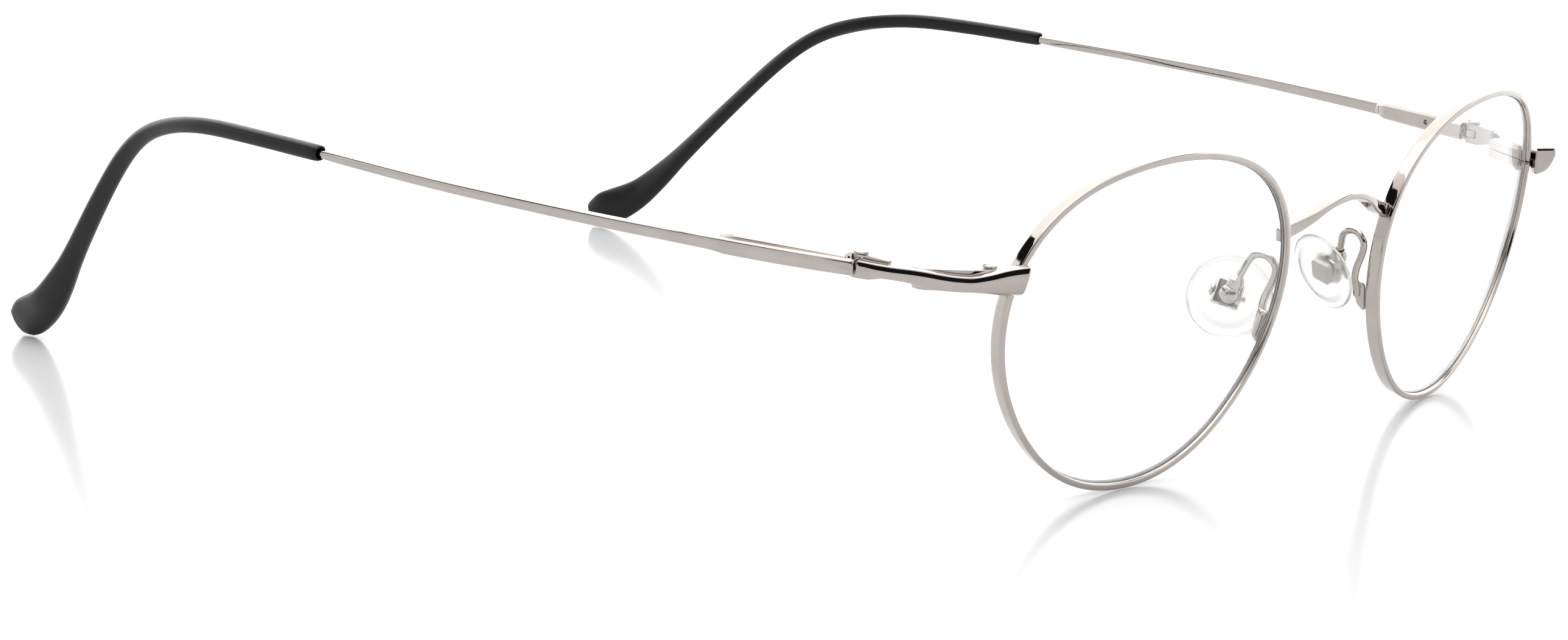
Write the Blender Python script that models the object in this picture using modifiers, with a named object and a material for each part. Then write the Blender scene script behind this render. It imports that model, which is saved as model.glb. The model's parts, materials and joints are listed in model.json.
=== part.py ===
"""Round wire eyeglasses, standing on their rims and temple tips.

All sizes are in millimetres until the shape makers turn them into metres.
x = 0 is the plane of symmetry, the wearer looks along -Y, and Z is up.
Positions below count back from a plane just behind the bridge, up from the floor.
Each piece is drawn once for the wearer's left (+X) and mirrored for the right.
"""

import math

import bmesh
import bpy
import numpy as np
from mathutils import Matrix, Vector

MM = 0.001
SIDES = (("right", -1.0), ("left", 1.0))
MIDDLE_Y = 70.14                 # from y = 0 in these tables to the middle of the object

# ---- rims and lenses -------------------------------------------------------
RIM_HALF_DISTANCE = 35.36        # middle of the frame to the middle of a lens
RIM_MEAN_RADIUS = 20.88          # to the middle of the rim wire
RIM_SHAPE = ((2, 2.82, -0.13), (3, 0.07, 0.70), (4, 0.15, -0.03), (5, 0.02, 0.19))
LENS_TILT = 8.76                 # degrees, the top leans forward
LENS_WRAP = 7.44                 # degrees, the outer side is swept back
LENS_CURVATURE = 0.0086          # 1 / radius of the front surface
RIM_WIDTH = 0.77                 # across the wire, seen from the front
RIM_DEPTH = 1.68                 # front to back
RIM_CHAMFER = 0.12
GROOVE_WIDTH = 0.90
GROOVE_DEPTH = 0.33
RIM_STEPS = 48
RIM_SPLIT_ANGLE = 14.5           # degrees above the horizontal, at the outer side
RIM_SPLIT_HALF_GAP = 0.36        # degrees
LENS_THICKNESS = 1.1
LENS_FRONT = 0.30                # front surface, ahead of the middle of the rim
LENS_CLEARANCE = 0.06

# ---- end pieces ------------------------------------------------------------
END_PLAN = ((60.0, 1.25), (63.35, 4.4), (66.15, 8.0), (68.6, 11.9), (70.5, 15.9))
TEMPLE_PLAN = ((70.5, 15.9), (72.0, 22.3), (73.2, 31.3), (74.7, 42.3), (75.5, 52.3),
               (75.6, 66.3), (74.4, 80.3), (73.2, 90.3))
# the outer face: a top bevel, taller at the front, then a face that leans out towards its foot
END_BEVEL = 0.65
END_BEVEL_EXTRA = 0.20
END_BEVEL_FADE = 6.0
END_EDGE = ((0.30, 0.0), (0.22, 0.06))                    # the arris above the bevel: in, down
END_FACE = ((0.24, 0.65), (0.50, 0.87), (1.0, 1.0))       # share of the lean, share of the height
# distance from the front, top, bottom, thickness, lean of the outer face
END_SECTIONS = (
    (0.00, 27.42, 24.08, 2.45, 2.10),
    (1.20, 27.30, 24.12, 2.55, 1.90),
    (2.50, 27.08, 24.20, 2.55, 1.60),
    (4.00, 26.68, 24.36, 1.95, 1.20),
    (6.00, 26.28, 24.58, 1.50, 0.80),
    (8.00, 26.36, 24.68, 1.50, 0.60),
    (9.70, 26.58, 24.78, 1.50, 0.50),
    (11.0, 26.78, 24.98, 1.50, 0.42),
    (12.3, 26.92, 25.40, 1.48, 0.34),
    (14.5, 27.06, 25.70, 1.42, 0.28),
    (16.4, 27.28, 25.78, 1.38, 0.24),
    (18.0, 27.50, 25.80, 1.35, 0.20),
)
HINGE_GAP = 0.30                 # between the end piece and the temple

# ---- closing blocks --------------------------------------------------------
BLOCK_BOTTOM = 24.57
BLOCK_SPLIT = 25.68
BLOCK_TOP = 26.80
BLOCK_HALF_GAP = 0.07
CLOSING_SCREW = (60.25, 6.10)
BLOCK_REAR = ((65.95, 11.15), (65.55, 12.1), (64.95, 12.62), (64.3, 12.5))
SCREW_CLEARANCE = 0.05

# ---- hinge -----------------------------------------------------------------
HINGE_DIRECTION = 12.0           # degrees between the temple and straight back
TEMPLE_SLOPE = 0.066             # rise of the temple per millimetre
HINGE_CENTRE_Z = 26.65
AXIS_INSET = 2.35                # hinge axis, inward from the outer face
AXIS_SETBACK = 0.35              # hinge axis, behind the joint
BARREL_RADIUS = 0.93
KNUCKLE_HALF = 0.42              # half the height of the middle knuckle
KNUCKLE_GAP = 0.07
BARREL_HALF = 1.22               # half the height of the whole hinge
PIN_RADIUS = 0.45
# distance behind the hinge axis, half height, inward extent from the rod
HOUSING_SECTIONS = ((1.30, 1.06, 1.02), (3.0, 1.08, 1.06), (9.0, 1.06, 1.04), (13.6, 0.98, 1.00),
                    (14.9, 0.76, 0.78), (15.6, 0.42, 0.30))
BORE_RADIUS = 0.70
BORE_END = 13.4
GUIDE_RADIUS = 0.64
ROD_RADIUS = 0.28
ROD_END = 11.9
BUSHING = (6.2, 7.2)
LOCK_HOLE = 6.7
NUT_LENGTH = 0.8
SPRING_TURNS = 5
SPRING_WIRE = 0.09

# ---- temples ---------------------------------------------------------------
# distance back (y), bottom, top, thickness
TEMPLE_SECTIONS = (
    (16.05, 25.80, 27.42, 1.30),
    (19.6, 25.95, 27.62, 1.32),
    (25.0, 26.17, 27.86, 1.32),
    (29.3, 26.38, 28.06, 1.32),
    (30.6, 26.46, 28.12, 1.30),
    (32.2, 26.77, 28.20, 1.28),
    (40.7, 27.32, 28.66, 1.22),
    (52.2, 28.10, 29.34, 1.12),
    (65.6, 28.88, 30.02, 1.04),
    (80.0, 29.78, 30.82, 0.98),
    (82.6, 29.95, 30.98, 0.96),
)
# centre line of the temple tip: x, y, z, width, thickness, twist in degrees
TIP_SECTIONS = (
    (73.85, 83.3, 30.60, 1.84, 2.05, 0.0),
    (72.95, 92.3, 31.05, 1.86, 2.08, 0.0),
    (71.85, 99.7, 31.25, 1.88, 2.08, 0.0),
    (70.78, 104.5, 30.96, 1.88, 2.02, 5.0),
    (69.34, 109.2, 30.10, 1.84, 1.86, 28.0),
    (67.78, 113.9, 28.38, 1.98, 1.70, 48.0),
    (66.26, 118.3, 25.16, 2.20, 1.66, 53.0),
    (63.86, 124.2, 19.06, 2.42, 1.76, 54.0),
    (61.15, 130.25, 12.30, 2.80, 1.96, 52.0),
    (59.70, 133.65, 8.55, 3.85, 2.10, 42.0),
    (58.60, 136.50, 5.90, 4.65, 2.20, 34.0),
    (57.55, 139.20, 4.30, 5.15, 2.20, 26.0),
    (56.90, 141.30, 3.35, 5.05, 2.00, 22.0),
    (56.60, 142.95, 2.65, 3.30, 1.20, 22.0),
)
CORE_END = 120.0
CORE_SIZE = 0.92
CORE_CLEARANCE = 0.07

# ---- bridge ----------------------------------------------------------------
# x, y, z, half height, half depth
BRIDGE_SECTIONS = (
    (0.00, -2.45, 28.68, 0.37, 0.86),
    (2.00, -2.40, 28.50, 0.36, 0.86),
    (3.65, -2.25, 28.18, 0.36, 0.86),
    (5.10, -2.05, 27.74, 0.40, 0.85),
    (6.90, -1.75, 27.04, 0.51, 0.80),
    (8.75, -1.35, 26.38, 0.64, 0.70),
    (10.60, -1.02, 25.90, 0.72, 0.64),
    (11.22, -0.95, 25.76, 0.73, 0.62),
)
BRIDGE_CHAMFER = 0.11
BRIDGE_FOOT_ANGLE = 163.6        # degrees round the rim
FOOT_HALF = 0.82                 # half the height of a foot

# ---- nose pads -------------------------------------------------------------
PAD_CENTRE = (10.95, 6.05, 17.60)
PAD_SPLAY = 21.9                 # degrees, the skin side is turned back
PAD_DROOP = 21.7                 # degrees, the skin side is turned down
PAD_ROLL = 14.0                  # degrees, the head of the pad screw is raised
PAD_RADIUS = 4.70
PAD_AXIS_HEIGHT = 1.70           # from the middle of the pad to its screw
BOX_HALF_LENGTH = 1.50           # along the pad screw
BOX_HALF_WIDTH = 1.38
BOX_BOTTOM = 1.02                # over the middle of the pad
BOX_TOP = 2.55
DOME_OFFSET = -0.30              # along the pad screw
ARM_RADIUS = 0.47
ARM_PATH = ((11.85, 1.80, 15.30), (11.42, 1.80, 16.71), (11.25, 1.84, 17.62), (11.07, 1.60, 18.64),
            (10.90, 1.18, 19.68), (10.84, 0.84, 20.65), (10.80, 0.74, 21.57), (10.88, 1.10, 22.29),
            (10.98, 1.77, 22.80), (11.05, 2.58, 22.90), (11.12, 3.26, 22.67), (11.27, 3.74, 22.15),
            (11.71, 4.09, 21.16), (12.20, 4.54, 19.87))
COLLAR_RADIUS = 0.95             # solder round the end of the arm
BOX_ROUNDING = 0.32
# degrees round the rim at the wire and at the rear edge, then the rear edge from the middle of the wire
ARM_PLATE = ((184.8, 184.8, -2.15), (190.5, 190.0, -2.10), (194.3, 192.2, -1.95))
ARM_PLATE_OUT = (-0.08, 0.62)    # from the middle of the rim wire
ARM_PLATE_FRONT = -0.87
SLOT_HALF = 0.46
TAB_HALF = 0.38


# ---- materials (colour, roughness, metallic, transmission) -------------------
MATERIALS = {
    "polished_metal": ((0.78, 0.76, 0.74), 0.08, 1.0, 0.0),
    "screw_steel": ((0.62, 0.61, 0.60), 0.20, 1.0, 0.0),
    "spring_steel": ((0.45, 0.45, 0.46), 0.30, 1.0, 0.0),
    "bushing_plastic": ((0.80, 0.80, 0.78), 0.40, 0.0, 0.0),
    "clear_lens": ((0.98, 0.99, 0.98), 0.02, 0.0, 1.0),
    "clear_silicone": ((0.93, 0.92, 0.88), 0.25, 0.0, 0.8),
    "black_acetate": ((0.015, 0.015, 0.015), 0.35, 0.0, 0.0),
}


# ---- scene helpers -----------------------------------------------------------
def clear_scene():
    for obj in list(bpy.data.objects):
        bpy.data.objects.remove(obj)


def collection(name):
    found = bpy.data.collections.get(name)
    if found is None:
        found = bpy.data.collections.new(name)
        bpy.context.scene.collection.children.link(found)
    return found


def material(name):
    found = bpy.data.materials.get(name)
    if found is None:
        colour, roughness, metallic, transmission = MATERIALS[name]
        found = bpy.data.materials.new(name)
        found.use_nodes = True
        shader = found.node_tree.nodes["Principled BSDF"]
        shader.inputs["Base Color"].default_value = (*colour, 1.0)
        shader.inputs["Roughness"].default_value = roughness
        shader.inputs["Metallic"].default_value = metallic
        shader.inputs["Transmission Weight"].default_value = transmission
    return found


def pivot(name, point, parent=None):
    """An empty on a joint's axis. Everything that the joint moves hangs from it."""
    empty = bpy.data.objects.new(name, None)
    empty.empty_display_size = 0.004
    collection("round_wire_eyeglasses").objects.link(empty)
    place(empty, Frame(point, (1, 0, 0), (0, 0, 1)), parent)
    return empty


def world_place(empty):
    """World position of an empty, from its parents' places."""
    where = Vector((0, 0, 0))
    while empty is not None:
        where += empty.location
        empty = empty.parent
    return where


def place(obj, frame, parent=None):
    """Stands an object on a frame, under an empty that is never turned."""
    if parent is not None:
        obj.parent = parent
    spot = Vector(frame.origin * MM)
    obj.location = spot - world_place(parent)
    turn = Matrix([frame.first, frame.second, frame.third]).transposed()
    obj.rotation_euler = turn.to_euler()


def finish(obj, look):
    """Puts a part in its collection with its material and smooth shading, or hides a helper."""
    if look is None:
        obj.hide_render = True
        obj.display_type = "WIRE"
        collection("cutters").objects.link(obj)
        return obj
    collection("round_wire_eyeglasses").objects.link(obj)
    obj.data.materials.append(material(look))
    if obj.type == "MESH":
        obj.data.shade_smooth()
        obj.data.set_sharp_from_angle(angle=math.radians(40))
    return obj


def to_mesh(obj):
    """The same object with a mesh in place of its curve, its loose caps joined."""
    bpy.context.scene.collection.objects.link(obj)
    bpy.context.view_layer.update()
    mesh = bpy.data.meshes.new_from_object(obj.evaluated_get(bpy.context.evaluated_depsgraph_get()))
    made = bpy.data.objects.new(obj.name + "_mesh", mesh)
    name = obj.name
    bpy.data.objects.remove(obj)
    made.name = name
    work = bmesh.new()
    work.from_mesh(mesh)
    bmesh.ops.remove_doubles(work, verts=work.verts, dist=1e-7)
    bmesh.ops.recalc_face_normals(work, faces=work.faces)
    work.to_mesh(mesh)
    work.free()
    return made


def boolean(obj, other, operation):
    modifier = obj.modifiers.new(operation.lower(), "BOOLEAN")
    modifier.operation = operation
    modifier.object = other
    modifier.solver = "EXACT"


# ---- geometry helpers --------------------------------------------------------
def unit(v):
    v = np.asarray(v, float)
    return v / np.linalg.norm(v)


def smooth_curve(points, steps):
    """Catmull-Rom curve through points of any number of columns, steps between each pair."""
    p = np.asarray(points, float)
    p = np.vstack([2 * p[0] - p[1], p, 2 * p[-1] - p[-2]])
    out = []
    for i in range(1, len(p) - 2):
        for k in range(steps):
            t = k / steps
            out.append(0.5 * (2 * p[i] + (p[i + 1] - p[i - 1]) * t
                              + (2 * p[i - 1] - 5 * p[i] + 4 * p[i + 1] - p[i + 2]) * t * t
                              + (3 * p[i] - p[i - 1] - 3 * p[i + 1] + p[i + 2]) * t ** 3))
    out.append(p[-2])
    return np.array(out)


class Frame:
    """A place and three directions at right angles. Local (a, b, c) runs along them."""

    def __init__(self, origin, first, third):
        self.origin = np.asarray(origin, float)
        self.third = unit(third)
        self.first = unit(np.asarray(first, float) - self.third * np.dot(first, self.third))
        self.second = np.cross(self.third, self.first)

    def at(self, a, b, c):
        return self.origin + a * self.first + b * self.second + c * self.third

    def mirrored(self, side):
        """The frame on the other side of x = 0. Local b then runs the other way."""
        flip = np.array([side, 1.0, 1.0])
        return Frame(self.origin * flip, self.first * flip, self.third * flip)


def arc(radius, start, end, count):
    return [(radius * math.cos(math.radians(a)), radius * math.sin(math.radians(a)))
            for a in np.linspace(start, end, count)]


def chamfered(half_a, half_b, cut):
    """A rectangle with cut corners, as eight (a, b) points."""
    return [(-half_a + cut, -half_b), (half_a - cut, -half_b), (half_a, -half_b + cut),
            (half_a, half_b - cut), (half_a - cut, half_b), (-half_a + cut, half_b),
            (-half_a, half_b - cut), (-half_a, -half_b + cut)]


def oval(count, power):
    """Unit superellipse."""
    out = []
    for k in range(count):
        angle = 2 * math.pi * (k + 0.5) / count
        c, s = math.cos(angle), math.sin(angle)
        out.append((math.copysign(abs(c) ** power, c), math.copysign(abs(s) ** power, s)))
    return out


# ---- shape makers: look None makes a hidden cutter ---------------------------
def turned(name, frame, profile, side=1.0, look=None, parent=None, count=16):
    """A profile of (radius, height), from its top down its outer side, spun about the third direction."""
    loop = profile[0][0] != 0
    mesh = bpy.data.meshes.new(name)
    edges = [(k, k + 1) for k in range(len(profile) - 1)] + ([(len(profile) - 1, 0)] if loop else [])
    mesh.from_pydata([(r * MM, 0, h * MM) for r, h in profile], edges, [])
    obj = bpy.data.objects.new(name, mesh)
    spin = obj.modifiers.new("turn", "SCREW")
    spin.steps = spin.render_steps = count
    spin.use_merge_vertices = True
    spin.merge_threshold = 1e-6
    spin.use_smooth_shade = True
    place(obj, frame.mirrored(side), parent)
    return finish(obj, look)


def prism(name, frame, outline, low, high, side=1.0, look=None, parent=None):
    """A flat outline in (a, b), thick along the third direction from low to high."""
    curve = bpy.data.curves.new(name, "CURVE")
    curve.dimensions = "2D"
    curve.fill_mode = "BOTH"
    curve.extrude = (high - low) / 2 * MM
    spline = curve.splines.new("POLY")
    spline.points.add(len(outline) - 1)
    for point, (a, b) in zip(spline.points, outline):
        point.co = (a * MM, side * b * MM, 0, 1)
    spline.use_cyclic_u = True
    obj = to_mesh(bpy.data.objects.new(name, curve))
    middle = Frame(frame.at(0, 0, (low + high) / 2), frame.first, frame.third)
    place(obj, middle.mirrored(side), parent)
    return finish(obj, look)


def box(name, frame, a, b, c, side=1.0, look=None, parent=None):
    """A cube stretched between limits along the frame's three directions."""
    mesh = bpy.data.meshes.new(name)
    work = bmesh.new()
    size = Matrix.Diagonal(((a[1] - a[0]) * MM, (b[1] - b[0]) * MM, (c[1] - c[0]) * MM, 1))
    bmesh.ops.create_cube(work, size=1.0, matrix=size)
    work.to_mesh(mesh)
    work.free()
    obj = bpy.data.objects.new(name, mesh)
    middle = Frame(frame.at(sum(a) / 2, sum(b) / 2, sum(c) / 2), frame.first, frame.third)
    place(obj, middle.mirrored(side), parent)
    return finish(obj, look)


def wire(name, path, radius, side=1.0, look=None, parent=None, resolution=2):
    """A round wire with filled ends along a path."""
    start = np.asarray(path[0], float)
    curve = bpy.data.curves.new(name, "CURVE")
    curve.dimensions = "3D"
    curve.bevel_depth = radius * MM
    curve.bevel_resolution = resolution
    curve.use_fill_caps = True
    spline = curve.splines.new("POLY")
    spline.points.add(len(path) - 1)
    for point, spot in zip(spline.points, path):
        x, y, z = (np.asarray(spot) - start) * MM
        point.co = (side * x, y, z, 1)
    obj = to_mesh(bpy.data.objects.new(name, curve))
    place(obj, Frame(start * np.array([side, 1.0, 1.0]), (1, 0, 0), (0, 0, 1)), parent)
    return finish(obj, look)


def solid(name, origin, points, faces, side=1.0, look=None, parent=None):
    """A closed mesh from points in millimetres, kept relative to the object's own origin."""
    flip = np.array([side, 1.0, 1.0])
    origin = np.asarray(origin, float)
    mesh = bpy.data.meshes.new(name)
    mesh.from_pydata([tuple((np.asarray(p) - origin) * flip * MM) for p in points], [], faces)
    work = bmesh.new()
    work.from_mesh(mesh)
    bmesh.ops.recalc_face_normals(work, faces=work.faces)
    work.to_mesh(mesh)
    work.free()
    obj = bpy.data.objects.new(name, mesh)
    place(obj, Frame(origin * flip, (1, 0, 0), (0, 0, 1)), parent)
    return finish(obj, look)


def skin(rings):
    """Side faces between rings of equal length."""
    count = len(rings[0])
    faces = []
    for i in range(len(rings) - 1):
        a, b = i * count, (i + 1) * count
        for k in range(count):
            m = (k + 1) % count
            faces.append((a + k, a + m, b + m, b + k))
    return faces


def loft(name, origin, rings, side=1.0, look=None, parent=None):
    """A solid through sections that change along the way, closed with a flat face at each end."""
    count = len(rings[0])
    faces = skin(rings)
    faces.append(tuple(range(count)))
    faces.append(tuple(range((len(rings) - 1) * count, len(rings) * count)))
    return solid(name, origin, [p for ring in rings for p in ring], faces, side, look, parent)


# ---- rims and lenses ---------------------------------------------------------
def rim_axes():
    tilt, wrap = math.radians(LENS_TILT), math.radians(LENS_WRAP)
    lean = np.array([[1, 0, 0], [0, math.cos(tilt), -math.sin(tilt)],
                     [0, math.sin(tilt), math.cos(tilt)]])
    sweep = np.array([[math.cos(wrap), -math.sin(wrap), 0],
                      [math.sin(wrap), math.cos(wrap), 0], [0, 0, 1]])
    turn = lean @ sweep
    return turn[:, 0], turn[:, 2], -turn[:, 1]


ACROSS, UP, FRONT = rim_axes()


def rim_radius(angle):
    return RIM_MEAN_RADIUS + sum(c * math.cos(n * angle) + s * math.sin(n * angle)
                                 for n, c, s in RIM_SHAPE)


def rim_offset(angle, out, front):
    """From the middle of the lens to a point of the wire's section, before it is stood on z = 0."""
    radius = rim_radius(angle)
    lean = radius * LENS_CURVATURE
    along = radius + out + front * lean
    depth = front - radius * radius * LENS_CURVATURE / 2 - out * lean
    return along * (math.cos(angle) * ACROSS + math.sin(angle) * UP) + depth * FRONT


RIM_CENTRE_Z = -min(rim_offset(math.radians(a / 2), RIM_WIDTH / 2 - cut[0], RIM_DEPTH / 2 - cut[1])[2]
                    for a in range(480, 600) for cut in ((0, RIM_CHAMFER), (RIM_CHAMFER, 0)))
RIM_CENTRE = np.array([RIM_HALF_DISTANCE, 0.19, RIM_CENTRE_Z])


def rim_point(angle, out, front):
    return RIM_CENTRE + rim_offset(angle, out, front)


def rim_section():
    """The wire's section in (out, front), with a V-groove for the lens on its inner side."""
    w, d, c = RIM_WIDTH / 2, RIM_DEPTH / 2, RIM_CHAMFER
    g = GROOVE_WIDTH / 2
    return [(-w, g), (-w, d - c), (-w + c, d), (w - c, d), (w, d - c), (w, -d + c),
            (w - c, -d), (-w + c, -d), (-w, -d + c), (-w, -g), (-w + GROOVE_DEPTH, 0.0)]


def rim_angles():
    """Stations from just above the split, all the way round to just below it."""
    start = RIM_SPLIT_ANGLE + RIM_SPLIT_HALF_GAP
    end = RIM_SPLIT_ANGLE - RIM_SPLIT_HALF_GAP + 360
    return np.radians(np.linspace(start, end, RIM_STEPS + 1))


def make_rim(name, side, parent):
    rings = [[rim_point(a, out, front) for out, front in rim_section()] for a in rim_angles()]
    loft(f"rim_{name}", RIM_CENTRE, rings, side, "polished_metal", parent)


def make_lens(name, side, parent):
    edge = -RIM_WIDTH / 2 - LENS_CLEARANCE
    apex = -RIM_WIDTH / 2 + GROOVE_DEPTH - LENS_CLEARANCE - 0.02
    back = LENS_FRONT - LENS_THICKNESS
    angles = rim_angles()

    def face_point(angle, share, front):
        r = (rim_radius(angle) + edge) * share
        return (RIM_CENTRE + r * (math.cos(angle) * ACROSS + math.sin(angle) * UP)
                + (front - r * r * LENS_CURVATURE / 2) * FRONT)

    rings = [[face_point(a, 0.55, LENS_FRONT) for a in angles],
             [rim_point(a, edge, LENS_FRONT) for a in angles],
             [rim_point(a, apex, 0.0) for a in angles],
             [rim_point(a, edge, -0.30) for a in angles],
             [rim_point(a, edge, back) for a in angles],
             [face_point(a, 0.55, back) for a in angles]]
    points = [p for ring in rings for p in ring]
    faces = skin(rings)
    count = len(angles)
    for middle_front, first in ((LENS_FRONT, 0), (back, 5 * count)):
        points.append(RIM_CENTRE + middle_front * FRONT)
        middle = len(points) - 1
        faces += [(first + k, first + (k + 1) % count, middle) for k in range(count)]
    solid(f"lens_{name}", RIM_CENTRE, points, faces, side, "clear_lens", parent)


# ---- end pieces and closing blocks -------------------------------------------
END_CURVE = smooth_curve(END_PLAN + TEMPLE_PLAN[1:2], 24)[:24 * (len(END_PLAN) - 1) + 1]
END_LENGTHS = np.r_[0, np.cumsum(np.linalg.norm(np.diff(END_CURVE, axis=0), axis=1))]
END_LAST = END_LENGTHS[-1] - HINGE_GAP / 2


def end_plan(distance):
    """Point and inward normal of the end piece's outer face, in plan."""
    tangent = np.gradient(END_CURVE, END_LENGTHS, axis=0)
    x, y, tx, ty = (np.interp(distance, END_LENGTHS, column)
                    for column in (END_CURVE[:, 0], END_CURVE[:, 1], tangent[:, 0], tangent[:, 1]))
    size = math.hypot(tx, ty)
    return np.array([x, y]), np.array([-ty, tx]) / size


def end_inside(distance, extra=0.0):
    """Point of the end piece's inner face, in plan."""
    point, normal = end_plan(distance)
    thickness = np.interp(distance, [s[0] for s in END_SECTIONS], [s[3] for s in END_SECTIONS])
    return point + normal * (thickness + extra)


def make_end_piece(name, side, parent):
    rows = np.array(END_SECTIONS)
    stations = sorted({0.0, 0.6, 1.2, 2.5, 3.2, 4.0, 5.0, 6.0, 7.0, 8.0, 9.0, 9.7, 10.4, 11.0,
                       11.6, 12.3, 13.4, 14.5, 15.5, 16.4, END_LAST})
    rings = []
    for s in stations:
        top, bottom, thick, lean = (np.interp(s, rows[:, 0], rows[:, k]) for k in range(1, 5))
        point, normal = end_plan(s)
        height = top - bottom
        bevel = END_BEVEL + END_BEVEL_EXTRA * max(0.0, 1.0 - s / END_BEVEL_FADE)
        face = [(share * lean, top - down * height) for share, down in END_FACE]
        profile = ((thick, top), *((into, top - down) for into, down in END_EDGE), (0.0, top - bevel),
                   *face, (max(thick, lean + 0.2), bottom))
        # the front end is cut aslant: its lower edge lies further back
        slant = 0.5 * max(0.0, 1.0 - s / 2.5)
        along = np.array([normal[1], -normal[0]])
        rings.append([np.append(point + normal * t + along * slant * (top - z) / height, z)
                      for t, z in profile])
    loft(f"end_piece_{name}", (*END_PLAN[0], BLOCK_SPLIT), rings, side, "polished_metal", parent)


def make_closing_blocks(name, side, parent):
    upright = Frame((*CLOSING_SCREW, 0), (1, 0, 0), (0, 0, 1))
    levels = (("lower", BLOCK_BOTTOM, BLOCK_SPLIT - BLOCK_HALF_GAP, ((58.72, 5.98), (59.28, 4.34))),
              ("upper", BLOCK_SPLIT + BLOCK_HALF_GAP, BLOCK_TOP, ((58.36, 5.74), (58.90, 4.10))))
    hole = PIN_RADIUS + SCREW_CLEARANCE
    for half, low, high, rim_side in levels:
        along = [tuple(end_inside(s, 0.10)) for s in (2.7, 3.4, 4.2, 5.2, 6.2, 7.4, 8.8, 10.2, 11.2)]
        outline = [(x - CLOSING_SCREW[0], y - CLOSING_SCREW[1])
                   for x, y in along + list(BLOCK_REAR) + list(rim_side)]
        block = prism(f"closing_block_{half}_{name}", upright, outline, low, high, side,
                      "polished_metal", parent)
        drill = turned(f"cut_block_{half}_{name}", upright,
                       ((0, high + 1), (hole, high + 1), (hole, low - 1), (0, low - 1)),
                       side, None, parent)
        boolean(block, drill, "DIFFERENCE")
    screw(f"closing_screw_{name}", upright, BLOCK_BOTTOM + 0.05, BLOCK_TOP + 0.06, 0.78, 0.32,
          side, parent, 0.6)


def screw(name, frame, tip, seat, head_radius, head_height, side, parent, slot_angle):
    """A slotted screw along the frame's third direction."""
    body = turned(name, frame,
                  ((0, seat + head_height), (head_radius * 0.72, seat + head_height),
                   (head_radius, seat + head_height * 0.6), (head_radius, seat), (PIN_RADIUS, seat),
                   (PIN_RADIUS, tip + 0.12), (PIN_RADIUS - 0.12, tip), (0, tip)),
                  side, "screw_steel", parent)
    turn = Frame(frame.origin, math.cos(slot_angle) * frame.first + math.sin(slot_angle) * frame.second,
                 frame.third)
    slot = box(f"cut_{name}", turn, (-2, 2), (-0.11, 0.11),
               (seat + head_height * 0.45, seat + head_height + 1), side, None, parent)
    boolean(body, slot, "DIFFERENCE")


# ---- hinge -------------------------------------------------------------------
def hinge_frame():
    """On the left side: first back along the temple, second inward, third up the hinge axis."""
    turn = math.radians(HINGE_DIRECTION)
    level_back = np.array([math.sin(turn), math.cos(turn), 0.0])
    inward = np.array([-math.cos(turn), math.sin(turn), 0.0])
    back = unit(level_back + np.array([0, 0, TEMPLE_SLOPE]))
    joint = np.array([TEMPLE_PLAN[0][0], TEMPLE_PLAN[0][1], HINGE_CENTRE_Z])
    return Frame(joint + inward * AXIS_INSET + level_back * AXIS_SETBACK, back, np.cross(back, inward))


HINGE = hinge_frame()
ROD = Frame(HINGE.origin, HINGE.second, HINGE.first)         # third direction back along the rod
SIDE_VIEW = Frame(HINGE.origin, HINGE.first, -HINGE.second)  # (a, b) are back and up


def hinge_drill(obj, name, side, parent):
    hole = PIN_RADIUS + SCREW_CLEARANCE
    drill = turned(name, HINGE, ((0, 3), (hole, 3), (hole, -3), (0, -3)), side, None, parent)
    boolean(obj, drill, "DIFFERENCE")


def make_hinge_front(name, side, parent):
    """Two knuckles on a leaf that follows the end piece's inner face."""
    r = BARREL_RADIUS
    wall = []
    for back in (3.2, 2.2, 1.1, 0.0):
        spot = np.append(end_inside(END_LAST - back, 0.06), HINGE_CENTRE_Z) - HINGE.origin
        wall.append((np.dot(spot, HINGE.first), np.dot(spot, HINGE.second)))
    leaf = wall + arc(r, -70, 80, 9) + [(0.0, r - 0.12), (-2.2, r - 0.12), (wall[0][0], r - 0.45)]
    front = prism(f"hinge_front_{name}", HINGE, leaf, -BARREL_HALF, BARREL_HALF, side,
                  "polished_metal", parent)
    for label, at, tip in (("under", -BARREL_HALF, -0.55), ("over", BARREL_HALF, 0.75)):
        outline = [(-1.3, at), (-4.5, tip), (-4.5, 2.5 * at), (-1.3, 2.5 * at)]
        wedge = prism(f"cut_hinge_{label}_{name}", SIDE_VIEW, outline, -3, 3, side, None, parent)
        boolean(front, wedge, "DIFFERENCE")
    gap = KNUCKLE_HALF + KNUCKLE_GAP
    slot = box(f"cut_hinge_slot_{name}", HINGE, (-1.12, 2), (-2, 2), (-gap, gap), side, None, parent)
    boolean(front, slot, "DIFFERENCE")
    hinge_drill(front, f"cut_hinge_hole_{name}", side, parent)
    screw(f"hinge_screw_{name}", HINGE, -BARREL_HALF + 0.1, BARREL_HALF + 0.06, 0.82, 0.34, side,
          parent, 1.1)


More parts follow.
